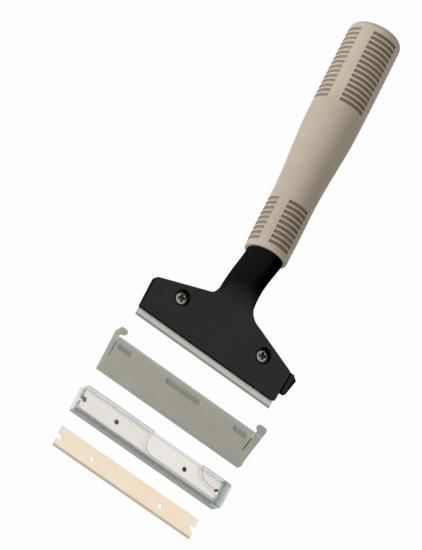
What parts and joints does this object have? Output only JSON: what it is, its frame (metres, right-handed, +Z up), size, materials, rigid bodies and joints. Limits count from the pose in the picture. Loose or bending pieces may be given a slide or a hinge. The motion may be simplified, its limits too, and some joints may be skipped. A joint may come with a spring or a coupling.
{
  "type": "razor blade scraper",
  "caption": "Long-handled razor blade scraper with a round grip, a T head that clamps a wide blade, its slide-on blade guard, a clear case of spare blades and one loose blade.",
  "frame": {"origin": "centre of the footprint of the whole set as it lies, on the table", "axes": "+X along the cutting edge, +Y from the cutting edge to the butt of the grip, +Z up from the table"},
  "size_m": [0.1164, 0.33, 0.0336],
  "materials": {
    "black_plastic": "satin moulded plastic",
    "tan_plastic": "fine matt moulded plastic",
    "grey_plastic": "matt moulded plastic",
    "clear_plastic": "clear moulded plastic, faintly green",
    "blade_steel": "ground steel with a polished bevel",
    "screw_steel": "bright zinc-plated steel",
    "spare_steel": "ground steel",
    "oiled_blade": "ground steel with a film of oil"
  },
  "bodies": {
    "scraper": {"head": "black_plastic", "grip": "tan_plastic"},
    "clamp": {"clamp_plate": "black_plastic", "nut_left": "screw_steel", "nut_right": "screw_steel"},
    "screw_left": {"screw_left": "screw_steel"},
    "screw_right": {"screw_right": "screw_steel"},
    "edge_blade": {"fitted_blade": "blade_steel"},
    "guard": {"blade_guard": "grey_plastic"},
    "case": {"case_tray": "clear_plastic", "spare_blade_01": "spare_steel", "spare_blade_02": "spare_steel", "spare_blade_03": "spare_steel", "spare_blade_04": "spare_steel", "spare_blade_05": "spare_steel", "spare_blade_06": "spare_steel", "spare_blade_07": "spare_steel", "spare_blade_08": "spare_steel", "spare_blade_09": "spare_steel"},
    "case_lid": {"case_cover": "clear_plastic"},
    "top_blade": {"spare_blade_10": "spare_steel"},
    "spare": {"loose_blade": "oiled_blade"}
  },
  "joints": [
    {"name": "screw_left_turn", "type": "hinge", "parent": "scraper", "child": "screw_left", "pos_m": [-0.0307, -0.04695, 0.0059], "axis": [0, 0, 1], "range_deg": [0, 360]},
    {"name": "screw_right_turn", "type": "hinge", "parent": "scraper", "child": "screw_right", "pos_m": [0.0312, -0.04695, 0.0059], "axis": [0, 0, 1], "range_deg": [0, 360]},
    {"name": "clamp_release", "type": "slide", "parent": "scraper", "child": "clamp", "axis": [0, 0, -1], "range_m": [0, 0.0007]},
    {"name": "blade_release", "type": "slide", "parent": "scraper", "child": "edge_blade", "axis": [0, 0, -1], "range_m": [0, 0.0007]},
    {"name": "guard_slide", "type": "slide", "parent": "scraper", "child": "guard", "axis": [0.0709, 0.9975, 0], "range_m": [0, 0.0395]},
    {"name": "case_lift", "type": "slide", "parent": "scraper", "child": "case", "axis": [0, 0, 1], "range_m": [0, 0.04]},
    {"name": "cover_lift", "type": "slide", "parent": "case", "child": "case_lid", "axis": [0, 0, 1], "range_m": [0, 0.012]},
    {"name": "top_blade_push", "type": "slide", "parent": "case", "child": "top_blade", "axis": [1, 0, 0], "range_m": [0, 0.105]},
    {"name": "loose_blade_lift", "type": "slide", "parent": "scraper", "child": "spare", "axis": [0, 0, 1], "range_m": [0, 0.04]}
  ],
  "couplings": [
    {"joint": "screw_left_turn", "follows": "clamp_release", "rad_per_m": 8976},
    {"joint": "screw_right_turn", "follows": "clamp_release", "rad_per_m": 8976},
    {"joint": "blade_release", "follows": "clamp_release", "ratio": 1}
  ]
}
